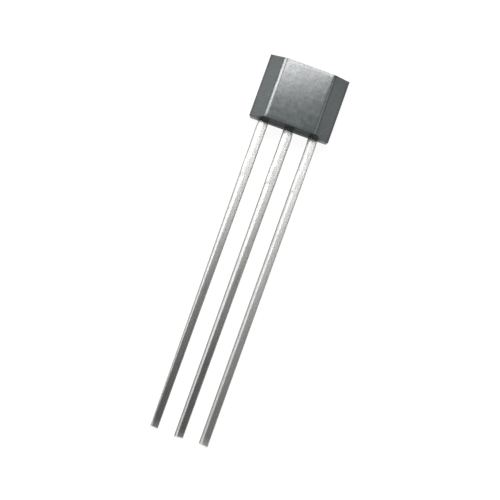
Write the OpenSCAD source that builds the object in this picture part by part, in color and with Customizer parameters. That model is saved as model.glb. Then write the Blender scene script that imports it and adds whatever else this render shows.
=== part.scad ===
// Hall effect sensor in a flat three-lead moulded package.
// The sensor lies on its back. +Z is the way the sensing face looks, +Y is the closed end of
// the body, and the leads run out along -Y. The origin is the centre of the flat back face.
// All sizes are in millimetres.

/* [Body] */
// Width of the body, measured at the parting line
body_w = 4.06; // [3.4:0.02:4.9]
// Height of the body along the leads, measured at the parting line
body_h = 3.25; // [2.7:0.05:3.9]
// Depth of the rear half, from the back face to the parting line
rear_t = 0.78; // [0.65:0.01:0.94]
// Depth of the front half, from the parting line to the sensing face
front_t = 0.74; // [0.62:0.01:0.9]
// Angle of the two long front bevels, from the sensing face
bevel_angle = 45; // [40:1:50]
// Draft that lets the body leave its mould
draft = 5; // [2:0.5:8]
// Radius of the edges between the sensing face and the long bevels
front_edge_r = 0.2; // [0.05:0.01:0.3]
// Radius of the other moulded edges
edge_r = 0.05; // [0.02:0.01:0.08]

/* [Leads] */
// Distance between neighbouring leads, centre to centre
pitch = 1.27; // [1.06:0.01:1.52]
// Width of a lead
lead_w = 0.48; // [0.4:0.01:0.58]
// Thickness of the lead frame
lead_t = 0.38; // [0.31:0.01:0.46]
// Length of a lead outside the body
lead_len = 16; // [13:0.25:19.5]
// How much further the middle lead reaches
middle_extra = 0.06; // [0:0.01:0.2]
// Radius of a lead's left front edge, rolled over by the stamping punch
lead_rolled_r = 0.13; // [0.05:0.01:0.15]
// Radius of a lead's right front edge, where the punch sheared it
lead_sheared_r = 0.04; // [0.01:0.01:0.08]
// Radius of a lead's two rear edges
lead_rear_r = 0.03; // [0.01:0.01:0.06]

/* [Trimmed tie bar] */
// Distance from the body to the stubs that the trimmed tie bar leaves
stub_start = 2.05; // [1:0.05:3]
// Length of a stub along the lead
stub_len = 0.72; // [0.3:0.02:1]
// How far a stub stands out of the lead's side
stub_out = 0.01; // [0.005:0.005:0.05]

/* [Lead frame inside the body] */
// Width of the paddle that carries the die
paddle_w = 1.6; // [1.3:0.02:1.94]
// Moulding left between the paddle and the closed end of the body
closed_wall = 0.45; // [0.3:0.05:0.55]
// Moulding below the paddle, from its lower edge to the lead end of the body
lead_end_wall = 1.05; // [0.9:0.05:1.15]
// Gap between the paddle and the bonding posts
post_gap = 0.15; // [0.1:0.01:0.2]
// Moulding left between a bonding post and the side of the body
post_side_wall = 0.4; // [0.3:0.02:0.45]
// Height of a bonding post along the leads
post_h = 0.85; // [0.7:0.05:1.05]
// Moulding between a bonding post and the lead end of the body
post_root = 0.55; // [0.45:0.05:0.65]

/* [Die] */
// Width of the silicon die
die_w = 1; // [0.8:0.02:1.4]
// Height of the silicon die
die_h = 1; // [0.8:0.02:1.3]
// Thickness of the silicon die
die_t = 0.25; // [0.2:0.01:0.3]
// Thickness of the adhesive under the die
attach_t = 0.02; // [0.01:0.005:0.04]
// How far the adhesive squeezes out round the die
attach_margin = 0.05; // [0.02:0.01:0.06]

/* [Bond wires] */
// Diameter of a bond wire
wire_d = 0.03; // [0.025:0.001:0.036]
// Diameter of the ball at the die
ball_d = 0.08; // [0.06:0.005:0.1]
// Thickness of the ball and of the flattened stitch
bond_t = 0.02; // [0.015:0.001:0.025]
// Length of the flattened stitch at the lead frame
stitch_l = 0.1; // [0.08:0.005:0.12]
// Height above the ball that the wire is drawn up towards before it turns down
loop_rise = 0.28; // [0.2:0.01:0.34]
// How far back from the stitch the wire starts to come down
landing_run = 0.3; // [0.2:0.01:0.36]
// Distance of the bond pads from the die's lower edge
pad_inset = 0.12; // [0.08:0.01:0.15]
// Distance of the outer bond pads from the die's middle
pad_spread = 0.34; // [0.2:0.01:0.4]
// Distance of the ground wire's stitch below the paddle
ground_stitch_drop = 0.26; // [0.15:0.01:0.32]

/* [Hidden] */

ARC_STEPS = 5;      // straight steps in one rounded edge
WIRE_SIDES = 8;     // sides of a bond wire's section
WIRE_STEPS = 14;    // steps along a bond wire
BALL_SIDES = 12;    // sides of the ball at the die
ROOT_LENGTH = 0.3;  // how far a lead's rolled section runs into the body

body_t = rear_t + front_t;
front_w = body_w - 2 * front_t / tan(bevel_angle);
lead_z = rear_t - lead_t;                       // rear surface of the lead frame
lead_end_y = -body_h / 2;                       // where the leads leave the body
paddle_bottom = lead_end_y + lead_end_wall;
paddle_top = body_h / 2 - closed_wall;
die_y = (paddle_bottom + paddle_top) / 2;
die_z = rear_t + attach_t;
die_top = die_z + die_t;
post_in = paddle_w / 2 + post_gap;
post_out = body_w / 2 - post_side_wall;
post_bottom = lead_end_y + post_root;
pad_y = die_y - die_h / 2 + pad_inset;
post_stitch = [(post_in + post_out) / 2, post_bottom + post_h / 2];
ground_stitch = [0, paddle_bottom - ground_stitch_drop];

// Unit vector from a to b
function toward(a, b) = (b - a) / norm(b - a);

// A convex outline with its corners rounded. Each corner is [x, y, radius], anticlockwise.
function rounded(corners) = [
    for (i = [0 : len(corners) - 1])
        let (n = len(corners),
             here = [corners[i].x, corners[i].y],
             before = [corners[(i + n - 1) % n].x, corners[(i + n - 1) % n].y],
             after = [corners[(i + 1) % n].x, corners[(i + 1) % n].y],
             to_before = toward(here, before),
             to_after = toward(here, after),
             half = acos(to_before * to_after) / 2,
             centre = here + toward([0, 0], to_before + to_after) * corners[i].z / sin(half),
             start = atan2(to_before.x, -to_before.y),
             sweep = 180 - 2 * half,
             steps = corners[i].z > 0 ? ARC_STEPS : 0)
            for (k = [0 : steps])
                steps == 0 ? here
                : centre + corners[i].z * [cos(start + sweep * k / steps),
                                           sin(start + sweep * k / steps)]
];

// Turns an outline drawn in X and Z into a bar along Y, from y0 to y1
module bar_along_y(points, y0, y1) {
    translate([0, y1, 0]) rotate([90, 0, 0]) linear_extrude(y1 - y0) polygon(points);
}

// Turns an outline drawn in Y and Z into a bar along X, centred on X = 0
module bar_along_x(points, length) {
    translate([-length / 2, 0, 0]) rotate([90, 0, 90]) linear_extrude(length) polygon(points);
}

// The body's outer form: bevelled section across, drafted section along
module body_form() {
    rear_w = body_w - 2 * rear_t * tan(draft);
    rear_h = body_h - 2 * rear_t * tan(draft);
    front_h = body_h - 2 * front_t * tan(draft);
    intersection() {
        bar_along_y(rounded([[-rear_w / 2, 0, edge_r], [rear_w / 2, 0, edge_r],
                             [body_w / 2, rear_t, 0],
                             [front_w / 2, body_t, front_edge_r],
                             [-front_w / 2, body_t, front_edge_r],
                             [-body_w / 2, rear_t, 0]]), -body_h, body_h);
        bar_along_x(rounded([[-rear_h / 2, 0, edge_r], [rear_h / 2, 0, edge_r],
                             [body_h / 2, rear_t, 0],
                             [front_h / 2, body_t, edge_r],
                             [-front_h / 2, body_t, edge_r],
                             [-body_h / 2, rear_t, 0]]), 2 * body_w);
    }
}

// A lead outside the body, with its rolled and sheared front edges and its two trimmed stubs
module lead_bar(x, length) {
    section = rounded([[-lead_w / 2, 0, lead_rear_r], [lead_w / 2, 0, lead_rear_r],
                       [lead_w / 2, lead_t, lead_sheared_r],
                       [-lead_w / 2, lead_t, lead_rolled_r]]);
    stub_t = lead_t - lead_rolled_r - lead_rear_r;
    translate([x, 0, lead_z]) {
        bar_along_y(section, lead_end_y - length, lead_end_y + ROOT_LENGTH);
        translate([-lead_w / 2 - stub_out, lead_end_y - stub_start - stub_len, lead_rear_r])
            cube([lead_w + 2 * stub_out, stub_len, stub_t]);
    }
}

// A flat rectangle of the lead frame
module frame_plate(x0, x1, y0, y1) {
    translate([x0, y0, lead_z]) cube([x1 - x0, y1 - y0, lead_t]);
}

// An outer lead with its bonding post; side is -1 or 1
module outer_lead(side) {
    inner_x = side > 0 ? post_in : -post_out;
    neck_x = side * pitch - lead_w / 2;
    union() {
        lead_bar(side * pitch, lead_len);
        frame_plate(neck_x, neck_x + lead_w, lead_end_y + ROOT_LENGTH, post_bottom);
        frame_plate(min(inner_x, neck_x), max(inner_x + post_out - post_in, neck_x + lead_w),
                    post_bottom, paddle_bottom - post_gap);
        frame_plate(inner_x, inner_x + post_out - post_in, post_bottom, post_bottom + post_h);
    }
}

// The middle of a bond wire's loop, at s from 0 to 1. It rises straight from the ball at a,
// turns over and comes down at a slant to b, in the upright plane that holds both.
function loop_point(a, b, s) =
    let (back = toward(b, [a.x, a.y, b.z]) * landing_run,
         over = a + [0, 0, loop_rise],
         turn = [b.x + back.x, b.y + back.y, a.z])
        pow(1 - s, 3) * a + 3 * pow(1 - s, 2) * s * over
        + 3 * (1 - s) * s * s * turn + pow(s, 3) * b;

// A bond wire, with its ball on the die at pad and its flattened stitch on the lead frame
module bond_wire(pad, stitch) {
    along = toward([0, 0], stitch - pad);
    side = [-along.y, along.x, 0];
    a = [pad.x, pad.y, die_top + bond_t];
    b = [stitch.x, stitch.y, rear_t + wire_d / 2];
    centres = [for (i = [0 : WIRE_STEPS]) loop_point(a, b, i / WIRE_STEPS)];
    rings = [for (i = [0 : WIRE_STEPS])
        let (way = i == 0 ? [0, 0, 1]
                 : toward(centres[i - 1], centres[min(i + 1, WIRE_STEPS)]),
             over = cross(way, side))
            for (k = [0 : WIRE_SIDES - 1])
                let (turn = 360 * (k + 0.5) / WIRE_SIDES)
                    centres[i] + wire_d / 2 * (cos(turn) * side + sin(turn) * over)];
    walls = [for (i = [0 : WIRE_STEPS - 1], k = [0 : WIRE_SIDES - 1])
        let (next = (k + 1) % WIRE_SIDES)
            each [[i * WIRE_SIDES + k, i * WIRE_SIDES + next, (i + 1) * WIRE_SIDES + next],
                  [i * WIRE_SIDES + k, (i + 1) * WIRE_SIDES + next, (i + 1) * WIRE_SIDES + k]]];
    first_cap = [for (k = [WIRE_SIDES - 1 : -1 : 0]) k];
    last_cap = [for (k = [0 : WIRE_SIDES - 1]) WIRE_STEPS * WIRE_SIDES + k];
    union() {
        polyhedron(points = rings, faces = concat(walls, [first_cap, last_cap]));
        translate([pad.x, pad.y, die_top]) cylinder(h = bond_t, d = ball_d, $fn = BALL_SIDES);
        translate([stitch.x, stitch.y, rear_t]) rotate([0, 0, atan2(along.y, along.x)])
            translate([-stitch_l / 2, -ball_d / 2, 0]) cube([stitch_l, ball_d, wire_d]);
    }
}

module moulded_body() {
    color([0.34, 0.36, 0.36])
        difference() {
            body_form();
            supply_lead();
            ground_lead();
            output_lead();
            die_attach();
            hall_die();
            supply_wire();
            ground_wire();
            output_wire();
        }
}

module supply_lead() {
    color([0.78, 0.78, 0.76]) outer_lead(-1);
}

module ground_lead() {
    color([0.78, 0.78, 0.76])
        union() {
            lead_bar(0, lead_len + middle_extra);
            frame_plate(-lead_w / 2, lead_w / 2, lead_end_y + ROOT_LENGTH, paddle_bottom);
            frame_plate(-paddle_w / 2, paddle_w / 2, paddle_bottom, paddle_top);
        }
}

module output_lead() {
    color([0.78, 0.78, 0.76]) outer_lead(1);
}

module die_attach() {
    color([0.72, 0.72, 0.7])
        translate([-die_w / 2 - attach_margin, die_y - die_h / 2 - attach_margin, rear_t])
            cube([die_w + 2 * attach_margin, die_h + 2 * attach_margin, attach_t]);
}

module hall_die() {
    color([0.25, 0.27, 0.32])
        translate([-die_w / 2, die_y - die_h / 2, die_z]) cube([die_w, die_h, die_t]);
}

module supply_wire() {
    color([0.9, 0.72, 0.3])
        bond_wire([-pad_spread, pad_y], [-post_stitch.x, post_stitch.y]);
}

module ground_wire() {
    color([0.9, 0.72, 0.3]) bond_wire([0, pad_y], ground_stitch);
}

module output_wire() {
    color([0.9, 0.72, 0.3]) bond_wire([pad_spread, pad_y], post_stitch);
}

moulded_body();
supply_lead();
ground_lead();
output_lead();
die_attach();
hall_die();
supply_wire();
ground_wire();
output_wire();
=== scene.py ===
"""Looks of a Hall effect sensor: moulded body, tinned leads, die and bond wires, on a plain stage.

Everything is in metres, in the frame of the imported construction. The sensor lies on its back:
+Z is the way the sensing face looks, +Y is the closed end of the body, and the leads run out
along -Y.
"""
import math
from itertools import pairwise
from typing import NamedTuple

import bmesh
import bpy
from bpy.props import FloatProperty, FloatVectorProperty, PointerProperty
from mathutils import Matrix, Vector


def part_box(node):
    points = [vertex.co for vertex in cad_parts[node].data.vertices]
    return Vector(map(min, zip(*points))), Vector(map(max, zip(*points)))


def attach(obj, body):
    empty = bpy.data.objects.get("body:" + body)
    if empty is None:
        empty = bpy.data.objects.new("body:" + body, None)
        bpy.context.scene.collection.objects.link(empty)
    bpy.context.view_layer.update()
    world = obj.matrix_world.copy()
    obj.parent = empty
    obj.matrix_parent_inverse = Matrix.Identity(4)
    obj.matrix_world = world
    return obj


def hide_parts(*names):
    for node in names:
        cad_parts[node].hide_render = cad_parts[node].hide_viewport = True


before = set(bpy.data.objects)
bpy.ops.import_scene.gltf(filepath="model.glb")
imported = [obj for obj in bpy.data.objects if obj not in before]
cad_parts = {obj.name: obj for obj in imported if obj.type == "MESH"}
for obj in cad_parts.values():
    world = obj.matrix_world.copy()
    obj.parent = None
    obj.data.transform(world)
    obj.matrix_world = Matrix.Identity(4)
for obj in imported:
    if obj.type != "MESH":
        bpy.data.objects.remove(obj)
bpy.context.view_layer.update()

bl_info = {
    "name": "Hall effect sensor",
    "version": (1, 0, 0),
    "blender": (4, 5, 0),
    "location": "3D View > Sidebar > Hall sensor",
    "description": "Builds the moulded body, the leads and the stage of a Hall effect sensor",
    "category": "Object",
}

MM = 0.001
BODY = "root"
LEADS = ("supply_lead", "ground_lead", "output_lead")
CLOSE = 0.002 * MM          # how near two places have to be to count as one
QUARTER_TURN = 0.5 * math.pi


# ---------------------------------------------------------------- places read from the frame

def node_points(node):
    """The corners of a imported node, as vectors."""
    return [vertex.co.copy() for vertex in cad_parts[node].data.vertices]


def extent_at(node, y):
    """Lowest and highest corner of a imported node's outline in the plane at y."""
    found = [p for p in node_points(node) if abs(p.y - y) < CLOSE]
    if not found:
        raise RuntimeError(f"{node} has no corners at y = {y}")
    low = Vector([min(p[axis] for p in found) for axis in range(3)])
    high = Vector([max(p[axis] for p in found) for axis in range(3)])
    return low, high


BODY_LOW, BODY_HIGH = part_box("moulded_body")
LEAD_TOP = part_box("supply_lead")[1].z       # height of the leads' front face


# ---------------------------------------------------------------- sizes and colours

def length(name, description, default, high=0.1):
    """A length property in metres."""
    return FloatProperty(
        name=name, description=description, default=default, min=0.0, max=high,
        subtype="DISTANCE", unit="LENGTH", precision=6,
    )


def angle(name, description, degrees):
    """An angle property, given in degrees."""
    return FloatProperty(
        name=name, description=description, default=math.radians(degrees),
        min=-math.pi, max=math.pi, subtype="ANGLE", unit="ROTATION",
    )


def share(name, description, default, high=1.0):
    """A property that is a plain number from 0 up."""
    return FloatProperty(
        name=name, description=description, default=default, min=0.0, max=high,
        subtype="FACTOR" if high == 1.0 else "NONE",
    )


def colour(name, description, default):
    """A colour property, in linear light."""
    return FloatVectorProperty(
        name=name, description=description, default=default, size=3, min=0.0, max=1.0,
        subtype="COLOR",
    )


class SENSOR_PG_body(bpy.types.PropertyGroup):
    """Sizes and colours of the moulded body."""

    width: length("Width", "Width at the parting line", BODY_HIGH.x - BODY_LOW.x)
    height: length("Height", "Height along the leads at the parting line", BODY_HIGH.y - BODY_LOW.y)
    depth: length("Depth", "Depth from the back face to the sensing face", BODY_HIGH.z)
    parting: length("Parting line", "Height of the parting line over the back face", LEAD_TOP)
    bevel_angle: angle("Bevel angle", "Angle of the two long bevels from the sensing face", 45)
    draft: angle("Draft", "Slope of the sides that lets the body leave its mould", 5)
    left_edge_radius: length("Left edge radius", "Radius beside the left long bevel", 0.36 * MM)
    right_edge_radius: length("Right edge radius", "Radius beside the right long bevel", 0.22 * MM)
    edge_radius: length("Edge radius", "Radius of the sensing face's edge at the leads", 0.04 * MM)
    corner_radius: length("Corner radius", "Radius of the crisper edges", 0.012 * MM)
    flash: length("Flash", "How far the parting line's flash stands out", 0.010 * MM)
    crown_across: length("Crown across", "Fall of the sensing face at its long edges", 0.022 * MM)
    crown_along: length("Crown along", "Fall of the sensing face at its short edges", 0.056 * MM)
    grain_depth: length("Grain depth", "Depth of the moulded skin's unevenness", 0.0028 * MM)
    compound: colour("Compound", "Colour of the moulding compound", (0.077, 0.090, 0.093))
    filler: colour("Filler", "Colour of the pale specks of filler", (0.26, 0.28, 0.28))
    roughness: share("Roughness", "Roughness of the moulded surface", 0.27)


class SENSOR_PG_leads(bpy.types.PropertyGroup):
    """Sizes and colours of the three leads."""

    rolled_depth: length("Rolled depth", "Depth of the rolled front left edge", 0.12 * MM)
    sheared_radius: length("Sheared edge radius", "Radius of the front right edge", 0.04 * MM)
    rear_radius: length("Rear edge radius", "Radius of the rear edges", 0.03 * MM)
    stub_start: length("Stub start", "Distance from the body to the trimmed tie bar", 2.05 * MM)
    stub_length: length("Stub length", "Length of the trimmed tie bar's stubs", 0.72 * MM)
    stub_out: length("Stub stand", "How far a stub stands out of the lead's side", 0.006 * MM)
    tin: colour("Tin", "Colour of the tin plate", (0.76, 0.762, 0.75))
    tarnish: colour("Tarnish", "Colour of the duller patches of the plate", (0.56, 0.56, 0.54))
    roughness: share("Roughness", "Roughness of the tin plate", 0.19)
    # The side colour also darkens the rolled front edges, as painted shade
    side: colour("Side", "Colour of the sheared sides, where the plate is thin", (0.41, 0.41, 0.40))
    worn: share("Worn", "Roughness added on the right lead, which is a little duller", 0.05)
    edge_roughness: share("Edge roughness", "Roughness added on the leads' edges and sides", 0.30)


class SENSOR_PG_stage(bpy.types.PropertyGroup):
    """The camera, the lamps and the floor."""

    floor_radius: length("Floor radius", "Radius of the flat part of the floor", 0.25, high=2.0)
    rim_height: length("Rim height", "How high the floor's rim sweeps up", 0.05, high=1.0)
    floor_colour: colour("Floor", "Colour of the floor", (0.80, 0.80, 0.80))
    room: share("Room light", "Brightness of the room behind the lamps", 0.05, high=2.0)
    distance: length("Camera distance", "Distance from the camera to its aim", 200.0 * MM, high=2.0)
    focal_length: FloatProperty(
        name="Focal length", description="Focal length of the camera, in millimetres",
        default=297.54, min=10.0, max=1000.0,
    )
    tilt: angle("Tilt", "How far the camera leans towards the lead ends", 11.109)
    turn: angle("Turn", "How far the camera stands to the right", 0.303)
    roll: angle("Roll", "How far the camera is rolled", 19.714)


# ---------------------------------------------------------------- shader nodes

BLACK = (0.0, 0.0, 0.0)
WHITE = (1.0, 1.0, 1.0)
UNMOVED = (0.0, 0.0, 0.0)
NOISE_MIDDLE = 0.5          # what a noise comes to on average


class Socket:
    """An output of a node. Sums and products of it add Math nodes."""

    def __init__(self, sheet, output):
        self.sheet = sheet
        self.output = output

    def math(self, operation, *values, clamp=False):
        """A Math node on the given values."""
        made = self.sheet.node(
            "ShaderNodeMath", {"operation": operation, "use_clamp": clamp},
            dict(enumerate(values)),
        )
        return made["Value"]

    def __add__(self, other):
        return self.math("ADD", self, other)

    __radd__ = __add__

    def __sub__(self, other):
        return self.math("SUBTRACT", self, other)

    def __rsub__(self, other):
        return self.math("SUBTRACT", other, self)

    def __mul__(self, other):
        return self.math("MULTIPLY", self, other)

    __rmul__ = __mul__

    def __truediv__(self, other):
        return self.math("DIVIDE", self, other)

    def __rtruediv__(self, other):
        return self.math("DIVIDE", other, self)

    def __abs__(self):
        return self.math("ABSOLUTE", self)

    def clamped(self):
        """The value held between 0 and 1."""
        return self.math("ADD", self, 0.0, clamp=True)

    def swing(self, size):
        """How far a noise is above or below its middle, times size."""
        return (self - NOISE_MIDDLE) * size

    def over(self, low, high):
        """0 below low, 1 above high, and smooth between them."""
        made = self.sheet.node(
            "ShaderNodeMapRange", {"interpolation_type": "SMOOTHSTEP"},
            {"Value": self, "From Min": low, "From Max": high},
        )
        return made["Result"]


class Made:
    """A node that was made, whose outputs are read by name."""

    def __init__(self, sheet, node):
        self.sheet = sheet
        self.node = node

    def __getitem__(self, name):
        found = [o for o in self.node.outputs if o.name == name and o.enabled]
        if not found:
            raise KeyError(f"{self.node.bl_idname} has no output {name}")
        return Socket(self.sheet, found[0])


class Sheet:
    """A node tree that is being filled."""

    def __init__(self, tree):
        self.tree = tree
        self.tree.nodes.clear()

    def node(self, kind, settings=None, inputs=None):
        """Adds a node: its settings first, then the values or links of its sockets."""
        made = self.tree.nodes.new(kind)
        for name, value in (settings or {}).items():
            setattr(made, name, value)
        for name, value in (inputs or {}).items():
            socket = self.input_of(made, name)
            if isinstance(value, Socket):
                self.tree.links.new(value.output, socket)
            else:
                socket.default_value = value
        return Made(self, made)

    @staticmethod
    def input_of(made, name):
        """An input by its number, or the one in use that has the name."""
        if isinstance(name, int):
            return made.inputs[name]
        found = [s for s in made.inputs if s.name == name and s.enabled]
        if not found:
            raise KeyError(f"{made.bl_idname} has no input {name}")
        return found[0]

    def mix(self, factor, low, high):
        """A colour between low and high."""
        made = self.node(
            "ShaderNodeMix", {"data_type": "RGBA"},
            {"Factor": factor, "A": full(low), "B": full(high)},
        )
        return made["Result"]

    def vector(self, operation, first, second):
        """A Vector Math node on two vectors."""
        return self.node("ShaderNodeVectorMath", {"operation": operation}, {0: first, 1: second})

    def place(self):
        """Where a point is in the frame."""
        return self.node("ShaderNodeTexCoord")["Object"]

    def part_of(self, vector, axis):
        """One part of a vector, X, Y or Z."""
        return self.node("ShaderNodeSeparateXYZ", None, {"Vector": vector})[axis]

    def stretched(self, scale, offset=UNMOVED):
        """The place, moved by offset and multiplied by scale along each axis."""
        moved = self.vector("ADD", self.place(), offset)["Vector"]
        return self.vector("MULTIPLY", moved, scale)["Vector"]

    def grain(self, scale, detail=2.0, roughness=0.5, offset=UNMOVED):
        """Noise from 0 to 1, with its scale given for each axis in grains a metre."""
        made = self.node(
            "ShaderNodeTexNoise", {"noise_dimensions": "3D"},
            {"Vector": self.stretched(scale, offset), "Scale": 1.0, "Detail": detail,
             "Roughness": roughness},
        )
        return made["Fac"]

    def specks(self, scale):
        """Distance to the nearest of many scattered points, which are scale a metre."""
        made = self.node(
            "ShaderNodeTexVoronoi", {"feature": "F1"},
            {"Vector": self.stretched(scale), "Scale": 1.0},
        )
        return made["Distance"]

    def matt(self, base, inputs=None):
        """A shader of the given colour that has no gloss."""
        values = {"Base Color": base, "Roughness": 1.0, "Specular IOR Level": 0.0}
        return self.node("ShaderNodeBsdfPrincipled", None, values | (inputs or {}))["BSDF"]

    def bump(self, height, distance):
        """A surface pushed out by height times distance."""
        return self.node("ShaderNodeBump", None, {"Height": height, "Distance": distance})["Normal"]

    def blend(self, factor, first, second):
        """A shader between two others."""
        return self.node("ShaderNodeMixShader", None, {0: factor, 1: first, 2: second})["Shader"]

    def show(self, shader):
        """Ends the sheet with the shader that the surface shows."""
        self.node("ShaderNodeOutputMaterial", None, {"Surface": shader})

    def surface(self, **inputs):
        """Ends the sheet with one shader. An underscore stands for a space in a socket's name."""
        named = {name.replace("_", " "): value for name, value in inputs.items()}
        self.show(self.node("ShaderNodeBsdfPrincipled", None, named)["BSDF"])


def full(shade):
    """A colour with its alpha, or the link as it is."""
    return shade if isinstance(shade, Socket) else (*shade, 1.0)


def times(shade, factor):
    """A colour made lighter or darker."""
    return [part * factor for part in shade]


def even(per_metre):
    """The same scale along each axis."""
    return (per_metre, per_metre, per_metre)


def new_finish(name):
    """A new material and the sheet of its nodes."""
    material = bpy.data.materials.new(name)
    material.use_nodes = True
    return material, Sheet(material.node_tree)


# ---------------------------------------------------------------- finishes

class Grains:
    """How many grains a metre each pattern has along X, Y and Z."""

    CLOUDS = even(1100.0)                       # broad clouds in the compound
    MOTTLES = even(4000.0)                      # mottles in the compound
    SKIN = even(14000.0)                        # fine grain of the compound's skin
    FILLER = even(3600.0)                       # specks of the compound's filler
    FILLER_PATCHES = even(900.0)                # patches where those specks show
    DRAW_LINES = (42000.0, 900.0, 42000.0)      # fine lines along a lead
    STREAKS = (9000.0, 420.0, 9000.0)           # broader streaks along a lead
    TARNISH = (2600.0, 1100.0, 2600.0)          # duller patches of the tin plate
    FLAKES = even(26000.0)                      # silver flakes in the adhesive
    BLOCKS = (9000.0, 12000.0, 10.0)            # blocks of the circuit on the die
    TRACKS = even(14000.0)                      # tracks of the circuit on the die
    BLOOM = even(20000.0)                       # soft bloom on a bond wire
    WIRE_LINES = (120000.0, 9000.0, 120000.0)   # fine lines along a bond wire
    FIBRES = even(3000.0)                       # fibres of the floor's paper


MOTTLES_MOVED = (0.017, 0.004, 0.002)           # where in the noise the mottles are taken
FILLER_MOVED = (0.023, 0.05, 0.01)              # where in the noise the filler's patches are
STREAKS_MOVED = (0.004, 0.02, 0.0)              # where in the noise the streaks are taken

SPECK_EDGE = (0.07, 0.18)       # where a speck of filler starts to fade and where it ends
SPECK_SHOWS = (0.51, 0.55)      # how high the patches' noise is where specks start to show
SPECK_STRENGTH = 0.6            # how much of the filler's colour a speck has
COMPOUND_SWING = 0.22           # how much lighter and darker than its colour the compound gets
COMPOUND_IOR = 1.55             # index of refraction of the epoxy
COMPOUND_GLOSS = 0.8            # level of its mirror reflection

LEAD_END = (0.5, 0.9)           # how squarely a surface faces the leads where it turns matt and takes painted shade
PAINTED_SHADE_DARKER = 0.38              # how much darker the lead end's colour is painted, as painted shade
DULL_SHADE_SHARE = 0.80               # how much of the matt shader with painted shade the middle of the lead end takes
DULL_SHADE_LESS = 0.4                 # how much less of it its two sides take, where less shade is painted
DULL_SHADE_SIDES = (1.45, 1.75)       # where its sides start, in millimetres from the middle

TARNISHED = 0.4                 # how much of the tin plate is tarnished on average
SIDE_SHADED = (0.02, 0.32)    # how far sideways the plate faces where it takes the sides' darker colour, painted shade on the rolled edges
SIDE_ROUGH = (0.0, 0.30)        # and where it takes the edges' roughness
RIGHT_LEAD = (0.5, 1.0)         # in the gap left of the right lead, in millimetres from the middle

TIN_DEPTH = 0.00007 * MM        # depth of the tin plate's lines
ADHESIVE_DEPTH = 0.004 * MM     # depth of the adhesive's flakes
CIRCUIT_DEPTH = 0.0015 * MM     # depth of the die's blocks
WIRE_DEPTH = 0.0006 * MM        # depth of a bond wire's lines

PAPER_DIM = 0.985               # how much of its brightness the paper has between its fibres
PAPER_WHITE = 0.92              # brightness of the paper's ground as it is seen
SHADOW_FAINTER = 0.8            # how much of the floor's shadow is taken away


def moulding_compound(settings):
    """Dark grey filled epoxy: satin skin, soft mottling, a few pale specks, and a lead end that is
    matt and painted darker as painted shade.
    """
    material, sheet = new_finish("moulding_compound")
    cloud = sheet.grain(Grains.CLOUDS)
    mottle = sheet.grain(Grains.MOTTLES, detail=1.5, offset=MOTTLES_MOVED)
    skin = sheet.grain(Grains.SKIN)
    speck = 1.0 - sheet.specks(Grains.FILLER).over(*SPECK_EDGE)
    patches = sheet.grain(Grains.FILLER_PATCHES, detail=1.0, offset=FILLER_MOVED)
    # The factors say how strongly each pattern tells
    tone = cloud.swing(0.5) + mottle.swing(0.9) + skin.swing(0.6) + NOISE_MIDDLE
    rough = settings.roughness + mottle.swing(0.14) + cloud.swing(0.12)
    height = skin * 0.04 + mottle * 1.2 + cloud * 2.6
    dark = times(settings.compound, 1 - COMPOUND_SWING)
    light = times(settings.compound, 1 + COMPOUND_SWING)
    base = sheet.mix(tone.clamped(), dark, light)
    base = sheet.mix(speck * patches.over(*SPECK_SHOWS) * SPECK_STRENGTH, base, settings.filler)
    normal = sheet.bump(height, settings.grain_depth)
    satin = sheet.node("ShaderNodeBsdfPrincipled", None, {
        "Base Color": base, "Roughness": rough, "Normal": normal,
        "IOR": COMPOUND_IOR, "Specular IOR Level": COMPOUND_GLOSS,
    })["BSDF"]
    # The lead end's shader: matt, with its colour darkened as painted shade
    dull = sheet.matt(sheet.mix(PAINTED_SHADE_DARKER, base, BLACK), {"Normal": normal})
    facing = sheet.node("ShaderNodeNewGeometry")["Normal"]
    towards_leads = sheet.vector("DOT_PRODUCT", facing, (0.0, -1.0, 0.0))["Value"]
    across = abs(sheet.part_of(sheet.place(), "X")) / MM
    # How much of the lead end takes the matt shader with painted shade, less towards its two sides
    dull_painted_shade = towards_leads.over(*LEAD_END) * (DULL_SHADE_SHARE - across.over(*DULL_SHADE_SIDES) * DULL_SHADE_LESS)
    sheet.show(sheet.blend(dull_painted_shade, satin, dull))
    return material


def tin_plate(settings):
    """Satin tin plate with lengthwise draw lines and streaks, dull patches, and duller sheared
    sides whose darker colour also lies on the rolled edges as painted shade.
    """
    material, sheet = new_finish("tinned_lead")
    lines = sheet.grain(Grains.DRAW_LINES)
    streaks = sheet.grain(Grains.STREAKS, detail=3.0, offset=STREAKS_MOVED)
    patches = sheet.grain(Grains.TARNISH, detail=3.0)
    # The factors say how strongly each pattern tells
    dull = patches.swing(3.2) + streaks.swing(0.8) + TARNISHED
    rough = settings.roughness + patches.swing(0.08) + streaks.swing(0.06)
    height = lines * 0.3 + streaks * 0.9
    base = sheet.mix(dull.clamped(), settings.tin, settings.tarnish)
    sideways = abs(sheet.part_of(sheet.node("ShaderNodeTexCoord")["Normal"], "X"))
    edges = sideways.over(*SIDE_ROUGH) * settings.edge_roughness
    across = sheet.part_of(sheet.place(), "X") / MM
    worn = across.over(*RIGHT_LEAD) * settings.worn
    sheet.surface(
        # Darker where the plate faces sideways: the duller sheared sides, and painted shade on the
        # rolled edges
        Base_Color=sheet.mix(sideways.over(*SIDE_SHADED), base, settings.side),
        Roughness=rough + edges + worn,
        Metallic=1.0,
        Normal=sheet.bump(height, TIN_DEPTH),
    )
    return material


def silver_adhesive():
    """Cured silver-filled adhesive: grey, grainy and half metallic."""
    material, sheet = new_finish("die_adhesive")
    flakes = sheet.grain(Grains.FLAKES, detail=3.0, roughness=0.7)
    resin, silver = (0.42, 0.42, 0.40), (0.74, 0.73, 0.70)
    sheet.surface(
        Base_Color=sheet.mix(flakes, resin, silver),
        Roughness=0.5 - flakes * 0.2,
        Metallic=flakes * 0.7,
        Normal=sheet.bump(flakes, ADHESIVE_DEPTH),
    )
    return material


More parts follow.
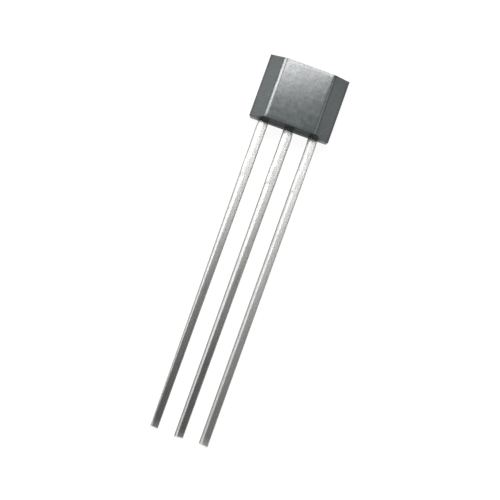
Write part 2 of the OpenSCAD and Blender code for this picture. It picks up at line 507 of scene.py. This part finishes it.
def silicon():
    """Polished silicon with the fine blocks and tracks of its circuit."""
    material, sheet = new_finish("silicon")
    blocks = sheet.node(
        "ShaderNodeTexVoronoi", {"feature": "F1", "distance": "CHEBYCHEV"},
        {"Vector": sheet.stretched(Grains.BLOCKS), "Scale": 1.0, "Randomness": 0.7},
    )["Distance"]
    tracks = sheet.node(
        "ShaderNodeTexBrick", {"offset": 0.5},
        {"Vector": sheet.stretched(Grains.TRACKS), "Scale": 1.0, "Mortar Size": 0.06,
         "Color1": full(BLACK), "Color2": full((0.35, 0.35, 0.35)), "Mortar": full(WHITE)},
    )["Color"]
    blue, brown = (0.060, 0.070, 0.105), (0.15, 0.15, 0.13)
    sheet.surface(
        Base_Color=sheet.mix(0.35, sheet.mix(blocks, blue, brown), tracks),
        Roughness=blocks * 0.15 + 0.12,
        Metallic=0.55,
        Normal=sheet.bump(blocks, CIRCUIT_DEPTH),
    )
    return material


def drawn_gold():
    """Bright drawn gold, with faint lengthwise draw lines and a softer bloom."""
    material, sheet = new_finish("gold_wire")
    bloom = sheet.grain(Grains.BLOOM, detail=3.0)
    lines = sheet.grain(Grains.WIRE_LINES)
    bright, deep = (0.93, 0.66, 0.25), (0.80, 0.54, 0.19)
    sheet.surface(
        Base_Color=sheet.mix(bloom, bright, deep),
        Roughness=bloom * 0.14 + 0.14,
        Metallic=1.0,
        Normal=sheet.bump(lines, WIRE_DEPTH),
    )
    return material


def floor_paper(settings):
    """Pale paper that is seen as white, with a faint shadow of the sensor on it."""
    material, sheet = new_finish("floor_paper")
    fibre = sheet.grain(Grains.FIBRES, detail=3.0)
    paper = sheet.mix(fibre, times(settings.floor_colour, PAPER_DIM), settings.floor_colour)
    plain = sheet.matt(paper)
    faint = sheet.matt(sheet.mix(SHADOW_FAINTER, paper, BLACK))
    white = sheet.node(
        "ShaderNodeEmission", None, {"Color": full(WHITE), "Strength": PAPER_WHITE}
    )["Emission"]
    lit = sheet.node("ShaderNodeAddShader", None, {0: faint, 1: white})["Shader"]
    ray = sheet.node("ShaderNodeLightPath")
    seen = (ray["Is Camera Ray"] + ray["Is Glossy Ray"] + ray["Is Transmission Ray"]).clamped()
    sheet.show(sheet.blend(seen, plain, lit))
    return material


# ---------------------------------------------------------------- meshes

def object_from(name, skin, material):
    """Turns a filled bmesh into an object with one material, and links it into the scene."""
    mesh = bpy.data.meshes.new(name)
    skin.to_mesh(mesh)
    skin.free()
    mesh.materials.append(material)
    made = bpy.data.objects.new(name, mesh)
    bpy.context.scene.collection.objects.link(made)
    return made


def settled(made):
    """Turns an object's modifiers into its mesh."""
    bpy.context.view_layer.update()
    graph = bpy.context.evaluated_depsgraph_get()
    mesh = bpy.data.meshes.new_from_object(made.evaluated_get(graph))
    made.modifiers.clear()
    made.data = mesh


def smooth_shaded(mesh, sharp):
    """Smooth shading, apart from edges that turn by more than sharp degrees."""
    for face in mesh.polygons:
        face.use_smooth = True
    mesh.set_sharp_from_angle(angle=math.radians(sharp))


def even_steps(low, high, count):
    """count + 1 numbers from low to high."""
    return [low + (high - low) * i / count for i in range(count + 1)]


class Form:
    """The moulded body's rings of corners, from the back face to the sensing face."""

    CELL = 0.17 * MM            # size of the mesh's cells, larger than any rounded edge's width
    FLASH_BAND = 0.022 * MM     # height of the parting flash's slope on each side
    WELD = 0.0005 * MM          # how near two corners have to be to become one

    def __init__(self, body):
        self.body = body
        front_depth = body.depth - body.parting
        slope = math.tan(body.draft)
        bevel_run = front_depth / math.tan(body.bevel_angle)
        self.middle = (body.width / 2, body.height / 2, body.parting)
        rear_draw = body.parting * slope
        self.rear = (self.middle[0] - rear_draw, self.middle[1] - rear_draw, 0.0)
        self.front = (
            self.middle[0] - bevel_run, self.middle[1] - front_depth * slope, body.depth,
        )
        below = self.between(self.rear, self.middle, 1 - self.FLASH_BAND / body.parting)
        above = self.between(self.middle, self.front, self.FLASH_BAND / front_depth)
        ridge = (self.middle[0] + body.flash, self.middle[1] + body.flash, self.middle[2])
        self.rings = [self.rear, below, ridge, above, self.front]

    @staticmethod
    def between(low, high, t):
        """The ring that lies t of the way from low to high."""
        return tuple(a + (b - a) * t for a, b in zip(low, high))

    @staticmethod
    def corners(ring):
        """A ring's four corners, anticlockwise seen from the front."""
        x, y, z = ring
        return [Vector((sx * x, sy * y, z)) for sx, sy in ((-1, -1), (1, -1), (1, 1), (-1, 1))]

    def cells(self, size):
        """How many cells fit along a length."""
        return max(1, round(size / self.CELL))


def add_patch(mesh, corners, across, up):
    """A grid of quads over four corners, which are anticlockwise seen from outside."""
    a, b, c, d = corners
    rows = []
    for v in even_steps(0.0, 1.0, up):
        left, right = a.lerp(d, v), b.lerp(c, v)
        rows.append([mesh.verts.new(left.lerp(right, u)) for u in even_steps(0.0, 1.0, across)])
    for lower, upper in pairwise(rows):
        for i in range(across):
            mesh.faces.new((lower[i], lower[i + 1], upper[i + 1], upper[i]))


def body_shell(form):
    """The body's closed outer form, before its edges are rounded."""
    mesh = bmesh.new()
    columns = (form.cells(2 * form.front[0]), form.cells(2 * form.front[1])) * 2
    rear, front = form.corners(form.rear), form.corners(form.front)
    add_patch(mesh, (rear[0], rear[3], rear[2], rear[1]), columns[1], columns[0])
    add_patch(mesh, front, columns[0], columns[1])
    for low, high in pairwise(form.rings):
        lower, upper = form.corners(low), form.corners(high)
        run = max((upper[i] - lower[i]).length for i in range(4))
        for i in range(4):
            j = (i + 1) % 4
            quad = (lower[i], lower[j], upper[j], upper[i])
            add_patch(mesh, quad, columns[i], form.cells(run))
    bmesh.ops.remove_doubles(mesh, verts=mesh.verts, dist=form.WELD)
    return mesh


ROUNDED_BEND = math.radians(25)     # how much an edge bends at least to be rounded
ROUNDED_STEPS = 6                   # steps in a rounded edge


def round_some(made, radius_of):
    """Rounds each bent edge to the radius that radius_of gives for its two ends."""
    mesh = bmesh.new()
    mesh.from_mesh(made.data)
    weight = mesh.edges.layers.float.get("bevel_weight_edge")
    if weight is None:
        weight = mesh.edges.layers.float.new("bevel_weight_edge")
    widths = {}
    for edge in mesh.edges:
        bend = edge.calc_face_angle(0.0)
        edge[weight] = 0.0
        if len(edge.link_faces) == 2 and bend > ROUNDED_BEND:
            widths[edge] = radius_of(*(vertex.co for vertex in edge.verts)) * math.tan(bend / 2)
    widest = max(widths.values())
    for edge, width in widths.items():
        edge[weight] = width / widest
    mesh.to_mesh(made.data)
    mesh.free()
    bevel = made.modifiers.new("rounding", "BEVEL")
    bevel.limit_method = "WEIGHT"
    bevel.width = widest
    bevel.segments = ROUNDED_STEPS
    bevel.use_clamp_overlap = False
    settled(made)


def round_edges(made, form):
    """Rounds the two long front edges, and then the crisper edges that are left."""
    body = form.body
    long_edge = form.front[0]
    roll = max(body.left_edge_radius, body.right_edge_radius) * (1 - math.cos(body.bevel_angle))

    def long_radius(a, b):
        """The radius of the two long front edges, and none for the rest."""
        middle = (a + b) / 2
        along = abs(a.y - b.y) > CLOSE and abs(a.z - b.z) < CLOSE
        in_front = abs(middle.z - body.depth) < CLOSE
        at_side = abs(abs(middle.x) - long_edge) < CLOSE
        if not (along and in_front and at_side):
            return 0.0
        return body.left_edge_radius if middle.x < 0 else body.right_edge_radius

    def crisp_radius(a, b):
        """The crisp radius, which grows towards the sensing face's edge at the leads."""
        middle = (a + b) / 2
        softness = 0.0
        if middle.y < 0:
            softness = min(1.0, max(0.0, 1 - (body.depth - middle.z) / roll))
        return body.corner_radius + (body.edge_radius - body.corner_radius) * softness

    round_some(made, long_radius)
    round_some(made, crisp_radius)


def crown(made, form):
    """Lets the sensing face fall a little towards its edges."""
    body = form.body
    half_x, half_y, _ = form.front
    for vertex in made.data.vertices:
        place = vertex.co
        lift = (place.z - body.parting) / (body.depth - body.parting)
        if lift <= 0:
            continue
        across = min(1.0, abs(place.x) / half_x) ** 2
        along = min(1.0, abs(place.y) / half_y) ** 2
        place.z -= lift * (body.crown_across * across + body.crown_along * along)


class SENSOR_OT_moulded_body(bpy.types.Operator):
    """Build the moulded body with its rounded edges and satin skin"""

    bl_idname = "sensor.moulded_body"
    bl_label = "Moulded body"

    def execute(self, context):
        settings = context.scene.sensor_body
        form = Form(settings)
        made = object_from("body_shell", body_shell(form), moulding_compound(settings))
        round_edges(made, form)
        crown(made, form)
        smooth_shaded(made.data, sharp=60)
        weighted = made.modifiers.new("flat_faces", "WEIGHTED_NORMAL")
        weighted.mode = "FACE_AREA"
        weighted.keep_sharp = True
        settled(made)
        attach(made, BODY)
        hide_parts("moulded_body")
        return {"FINISHED"}


class Station(NamedTuple):
    """A section of a lead at y, from x0 to x1. Each kind of edge has a width and a depth."""

    y: float
    x0: float
    x1: float
    rolled: tuple
    sheared: tuple
    rear: tuple


FRONT_ARC = 10      # steps in a front edge
REAR_ARC = 3        # steps in a rear edge
FACE_STEPS = 4      # steps across the flat of a lead's face


def section(station, z0, z1):
    """The outline of a lead's section, anticlockwise seen from the tip, as X and Z pairs."""
    # Each corner's place, the ways from it into the section, its width and depth, and its steps
    corners = (
        (station.x1, z1, -1, -1, station.sheared, FRONT_ARC),
        (station.x0, z1, 1, -1, station.rolled, FRONT_ARC),
        (station.x0, z0, 1, 1, station.rear, REAR_ARC),
        (station.x1, z0, -1, 1, station.rear, REAR_ARC),
    )
    points = []
    for number, (x, z, in_x, in_z, (width, depth), steps) in enumerate(corners):
        centre = (x + in_x * width, z + in_z * depth)
        start = number * QUARTER_TURN
        arc = [
            (centre[0] + width * math.cos(turn), centre[1] + depth * math.sin(turn))
            for turn in even_steps(start, start + QUARTER_TURN, steps)
        ]
        if points:
            points += points_between(points[-1], arc[0])
        points += arc
    return points + points_between(points[-1], points[0])


def points_between(start, end):
    """The points that divide the straight stretch between two points of a section."""
    return [
        tuple(a + (b - a) * t for a, b in zip(start, end))
        for t in even_steps(0.0, 1.0, FACE_STEPS)[1:-1]
    ]


class Lead:
    """One lead: its places from the frame, and what sets it apart from the other two."""

    STEP = 0.08 * MM            # distance between sections along the outer part
    RAMP = 0.02 * MM            # length of the step where the lead frame widens
    EASE = 0.20 * MM            # length over which a stub starts and ends
    SETTLE = 0.4 * MM           # how far from the body a lead has reached its own line
    CUT = 0.5 * MM              # how far from the tip the slanted cut is felt
    CREST = 4.8 * MM            # how far from the body a lead's bow is steepest
    BURNISH = 0.45 * MM         # how far from the tip the cut has bent the face
    BENT_UP = 0.013 * MM        # how far the cut has bent the face up at the tip
    BENT_STEPS = 6              # sections that are added along the bent part
    STUB_CRISPER = 0.25         # how much less the rolled edge is rolled at a stub

    # For each lead, in millimetres: how far its left and right sides stand to the right of where
    # they belong near the body, the same at the tip, and how wide its rolled edge is near the
    # body and at the tip. Then, in degrees: how far its cut slants down to the right, how steeply
    # its bow rises, and how steeply the whole lead falls
    LINES = {
        "supply_lead": ((-0.037, 0.008), (0.065, -0.035), (0.26, 0.05), 2.5, 1.1, 0.5),
        "ground_lead": ((0.012, 0.062), (0.028, -0.012), (0.22, 0.17), -4.8, 1.1, 0.5),
        "output_lead": ((0.032, 0.021), (-0.005, -0.025), (0.20, 0.17), 7.3, 1.0, 0.82),
    }

    def __init__(self, node, settings):
        self.node = node
        self.settings = settings
        self.low, self.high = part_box(node)
        tip_low, tip_high = extent_at(node, self.low.y)
        self.x0, self.x1 = tip_low.x, tip_high.x
        self.z0, self.z1 = self.low.z, self.high.z
        self.centre = (self.x0 + self.x1) / 2
        self.near, self.far, self.rolled, *angles = self.LINES[node]
        self.slant, self.rise, self.fall = (math.tan(math.radians(a)) for a in angles)

    def inner_corners(self):
        """The places inside the body where the lead frame changes its width."""
        inside = sorted({round(p.y, 6) for p in node_points(self.node) if p.y > BODY_LOW.y})
        return [y for y in inside if y > BODY_LOW.y + CLOSE]

    def stations(self):
        """The lead's sections, from its tip to its inner end."""
        settings = self.settings
        stub_high = BODY_LOW.y - settings.stub_start
        stub_low = stub_high - settings.stub_length
        root = self.inner_corners()[0]
        count = round((root - self.low.y) / self.STEP)
        places = even_steps(self.low.y, root, count)
        places += [stub_low - self.EASE, stub_low, stub_high, stub_high + self.EASE]
        places += even_steps(self.low.y, self.low.y + self.BURNISH, self.BENT_STEPS)[1:]
        sheared = (settings.sheared_radius, settings.sheared_radius)
        rear = (settings.rear_radius, settings.rear_radius)
        found = []
        for y in sorted(places):
            inside = min((y - stub_low) / self.EASE + 1, (stub_high - y) / self.EASE + 1)
            stub = min(1.0, max(0.0, inside))
            near, far = self.rolled
            along = min(1.0, max(0.0, (BODY_LOW.y - y) / (BODY_LOW.y - self.low.y)))
            width = (near + (far - near) * along) * MM
            kept = 1 - self.STUB_CRISPER * stub
            rolled = (width * kept, settings.rolled_depth * kept)
            out = settings.stub_out * stub
            found.append(Station(y, self.x0 - out, self.x1 + out, rolled, sheared, rear))
        return found + self.inner_stations()

    def inner_stations(self):
        """The sections inside the body: the neck, then the post or the paddle."""
        small = (self.settings.rear_radius, self.settings.rear_radius)
        edges = (small, small, small)
        top_low, top_high = extent_at(self.node, self.high.y)
        root, shoulder = self.inner_corners()[:2]
        return [
            Station(root + self.RAMP, self.x0, self.x1, *edges),
            Station(shoulder, self.x0, self.x1, *edges),
            Station(shoulder + self.RAMP, top_low.x, top_high.x, *edges),
            Station(self.high.y, top_low.x, top_high.x, *edges),
        ]

    def lift(self, out):
        """How far the bowed lead stands above its level at a distance from the body."""
        reach = out / self.CREST
        bow = math.e * (1 - (1 + reach) * math.exp(-reach))
        return self.rise * self.CREST * bow - self.fall * out

    def settled_place(self, x, y, z):
        """Where a corner ends up once the lead follows its own line and its tip is cut."""
        out = BODY_LOW.y - y
        if out <= 0:
            return x, y, z
        start = min(1.0, out / self.SETTLE)
        along = out / (BODY_LOW.y - self.low.y)
        across = (x - self.x0) / (self.x1 - self.x0)
        left, right = (a + (b - a) * along for a, b in zip(self.near, self.far))
        shift = (left + (right - left) * across) * start * MM
        cut = max(0.0, 1 - (y - self.low.y) / self.CUT)
        front = (z - self.z0) / (self.z1 - self.z0)
        bent = self.BENT_UP * front * max(0.0, 1 - (y - self.low.y) / self.BURNISH) ** 2
        z += self.lift(out) + bent
        return x + shift, y - self.slant * (x - self.centre) * cut, z


def lead_mesh(lead):
    """The lead's closed skin, swept through its sections."""
    mesh = bmesh.new()
    rings = []
    for station in lead.stations():
        outline = section(station, lead.z0, lead.z1)
        rings.append([
            mesh.verts.new(lead.settled_place(x, station.y, z)) for x, z in outline
        ])
    count = len(rings[0])
    for lower, upper in pairwise(rings):
        for i in range(count):
            j = (i + 1) % count
            mesh.faces.new((lower[j], lower[i], upper[i], upper[j]))
    mesh.faces.new(rings[0])
    mesh.faces.new(reversed(rings[-1]))
    bmesh.ops.recalc_face_normals(mesh, faces=mesh.faces)
    return mesh


class SENSOR_OT_leads(bpy.types.Operator):
    """Build the three stamped and tinned leads"""

    bl_idname = "sensor.leads"
    bl_label = "Leads"

    def execute(self, context):
        settings = context.scene.sensor_leads
        material = tin_plate(settings)
        for node in LEADS:
            made = object_from(f"{node}_skin", lead_mesh(Lead(node, settings)), material)
            smooth_shaded(made.data, sharp=50)
            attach(made, BODY)
            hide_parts(node)
        return {"FINISHED"}


class SENSOR_OT_die_and_wires(bpy.types.Operator):
    """Finish the die, its adhesive and the bond wires inside the body"""

    bl_idname = "sensor.die_and_wires"
    bl_label = "Die and bond wires"

    FINISHES = (
        (silver_adhesive, "die_adhesive", ("die_attach",)),
        (silicon, "silicon", ("hall_die",)),
        (drawn_gold, "gold_wire", ("supply_wire", "ground_wire", "output_wire")),
    )

    def execute(self, context):
        for make, slot, nodes in self.FINISHES:
            material = make()
            for node in nodes:
                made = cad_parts[node]
                made.data.materials.clear()
                made.data.materials.append(material)
        return {"FINISHED"}


# ---------------------------------------------------------------- stage

FLOOR_SIDES = 96        # sides of the round floor
FLOOR_STEPS = 6         # steps from the floor's middle to its rim
RIM_STEPS = 10          # steps up the rim


def floor_mesh(settings):
    """A round floor whose rim sweeps up in a quarter turn."""
    mesh = bmesh.new()
    profile = [(radius, 0.0) for radius in even_steps(0.0, settings.floor_radius, FLOOR_STEPS)[1:]]
    for turn in even_steps(0.0, QUARTER_TURN, RIM_STEPS)[1:]:
        out = settings.floor_radius + settings.rim_height * math.sin(turn)
        profile.append((out, settings.rim_height * (1 - math.cos(turn))))
    centre = mesh.verts.new((0.0, 0.0, 0.0))
    turns = [2 * math.pi * i / FLOOR_SIDES for i in range(FLOOR_SIDES)]
    rings = []
    for radius, height in profile:
        rings.append([
            mesh.verts.new((radius * math.cos(turn), radius * math.sin(turn), height))
            for turn in turns
        ])
    for i in range(FLOOR_SIDES):
        j = (i + 1) % FLOOR_SIDES
        mesh.faces.new((centre, rings[0][i], rings[0][j]))
        for inner, outer in pairwise(rings):
            mesh.faces.new((inner[i], outer[i], outer[j], inner[j]))
    return mesh


def softbox(name, place, aim, size, brightness):
    """A rectangular soft lamp that looks at aim. brightness is how bright its surface looks."""
    lamp = bpy.data.lights.new(name, "AREA")
    lamp.shape = "RECTANGLE"
    lamp.size, lamp.size_y = size
    lamp.energy = brightness * math.pi * size[0] * size[1]
    made = bpy.data.objects.new(name, lamp)
    made.location = place
    made.rotation_euler = (Vector(aim) - Vector(place)).to_track_quat("-Z", "Y").to_euler()
    made.visible_camera = False
    bpy.context.scene.collection.objects.link(made)


def camera_turn(settings):
    """The camera's rotation, from its turn, tilt and roll."""
    tilt, turn = settings.tilt, settings.turn
    back = Vector((
        math.sin(turn) * math.cos(tilt), -math.sin(tilt), math.cos(turn) * math.cos(tilt),
    ))
    up = (Vector((0.0, 1.0, 0.0)) - back * back.y).normalized()
    level = Matrix((up.cross(back), up, back)).transposed()
    return level @ Matrix.Rotation(settings.roll, 3, "Z")


CAMERA_AIM = Vector((0.217, -7.901, 0.76)) * MM     # the middle of the view
CAMERA_SENSOR = 36.0                                # width of the camera's sensor, in millimetres
CAMERA_NEAR = 10 * MM                               # where the camera starts to see
LAMP_AIM = Vector((0.0, -1.0, 0.8)) * MM            # where the lamps look

# Each lamp's name, its angle from straight up and its bearing from +X in degrees, its distance,
# width and height in millimetres, and how bright its surface looks
LAMPS = (
    ("overhead", 14.0, 106.0, 100.0, 26.0, 10.0, 1.0),
    ("near_key", 20.0, 113.0, 100.0, 26.0, 10.0, 10.6),
    ("main_key", 26.0, 106.0, 100.0, 26.0, 10.0, 23.5),
    ("right_key", 30.0, 80.0, 100.0, 20.0, 14.0, 18.5),
    ("left_key", 49.0, 158.0, 75.0, 26.0, 21.0, 14.5),
    ("left_soft", 37.0, 152.0, 75.0, 26.0, 16.0, 8.0),
    ("right_fill", 42.0, 10.0, 100.0, 50.0, 30.0, 2.3),
    ("low_fill", 50.0, -90.0, 100.0, 60.0, 60.0, 1.6),
)


def lamp_place(lean, bearing, distance):
    """Where a lamp stands, at an angle from straight up, a bearing from +X and a distance."""
    lean, bearing = math.radians(lean), math.radians(bearing)
    way = Vector((
        math.sin(lean) * math.cos(bearing), math.sin(lean) * math.sin(bearing), math.cos(lean),
    ))
    return LAMP_AIM + way * distance * MM


class SENSOR_OT_stage(bpy.types.Operator):
    """Set the floor, the lamps, the room and the camera"""

    bl_idname = "sensor.stage"
    bl_label = "Stage"

    def execute(self, context):
        settings = context.scene.sensor_stage
        self.lay_floor(settings)
        for name, lean, bearing, distance, width, height, brightness in LAMPS:
            place = lamp_place(lean, bearing, distance)
            softbox(name, place, LAMP_AIM, (width * MM, height * MM), brightness)
        self.light_room(context.scene, settings)
        self.place_camera(context.scene, settings)
        context.scene.view_settings.view_transform = "Standard"
        return {"FINISHED"}

    def lay_floor(self, settings):
        """The floor, which isn't part of the sensor."""
        floor = object_from("floor", floor_mesh(settings), floor_paper(settings))
        smooth_shaded(floor.data, sharp=40)

    def light_room(self, scene, settings):
        """An even room behind the lamps."""
        world = bpy.data.worlds.new("room")
        world.use_nodes = True
        sheet = Sheet(world.node_tree)
        room = sheet.node(
            "ShaderNodeBackground", None,
            {"Color": full(WHITE), "Strength": settings.room},
        )
        sheet.node("ShaderNodeOutputWorld", None, {"Surface": room["Background"]})
        scene.world = world

    def place_camera(self, scene, settings):
        """The camera, which looks down on the sensor from a little towards the lead ends."""
        lens = bpy.data.cameras.new("camera")
        lens.sensor_width = CAMERA_SENSOR
        lens.lens = settings.focal_length
        lens.clip_start = CAMERA_NEAR
        camera = bpy.data.objects.new("camera", lens)
        turned = camera_turn(settings)
        camera.matrix_world = Matrix.Translation(
            CAMERA_AIM + turned @ Vector((0.0, 0.0, settings.distance))
        ) @ turned.to_4x4()
        scene.collection.objects.link(camera)
        scene.camera = camera


class SENSOR_PT_sensor(bpy.types.Panel):
    """Lists the sensor's pieces and their sizes."""

    bl_idname = "SENSOR_PT_sensor"
    bl_label = "Hall effect sensor"
    bl_space_type = "VIEW_3D"
    bl_region_type = "UI"
    bl_category = "Hall sensor"

    def draw(self, context):
        layout = self.layout
        for operator, group in PIECES:
            layout.operator(operator.bl_idname)
            if group:
                settings = getattr(context.scene, group)
                for name in settings.bl_rna.properties.keys():
                    if name not in ("rna_type", "name"):
                        layout.prop(settings, name)


PIECES = (
    (SENSOR_OT_moulded_body, "sensor_body"),
    (SENSOR_OT_leads, "sensor_leads"),
    (SENSOR_OT_die_and_wires, None),
    (SENSOR_OT_stage, "sensor_stage"),
)
GROUPS = (
    ("sensor_body", SENSOR_PG_body),
    ("sensor_leads", SENSOR_PG_leads),
    ("sensor_stage", SENSOR_PG_stage),
)


def register():
    """Registers the settings, the operators and the panel."""
    for name, group in GROUPS:
        bpy.utils.register_class(group)
        setattr(bpy.types.Scene, name, PointerProperty(type=group))
    for operator, _ in PIECES:
        bpy.utils.register_class(operator)
    bpy.utils.register_class(SENSOR_PT_sensor)


def unregister():
    """Takes the panel, the operators and the settings away again."""
    bpy.utils.unregister_class(SENSOR_PT_sensor)
    for operator, _ in reversed(PIECES):
        bpy.utils.unregister_class(operator)
    for name, group in reversed(GROUPS):
        delattr(bpy.types.Scene, name)
        bpy.utils.unregister_class(group)


def main():
    """Builds every piece and the stage."""
    register()
    bpy.ops.sensor.moulded_body()
    bpy.ops.sensor.leads()
    bpy.ops.sensor.die_and_wires()
    bpy.ops.sensor.stage()


if __name__ == "__main__":
    main()
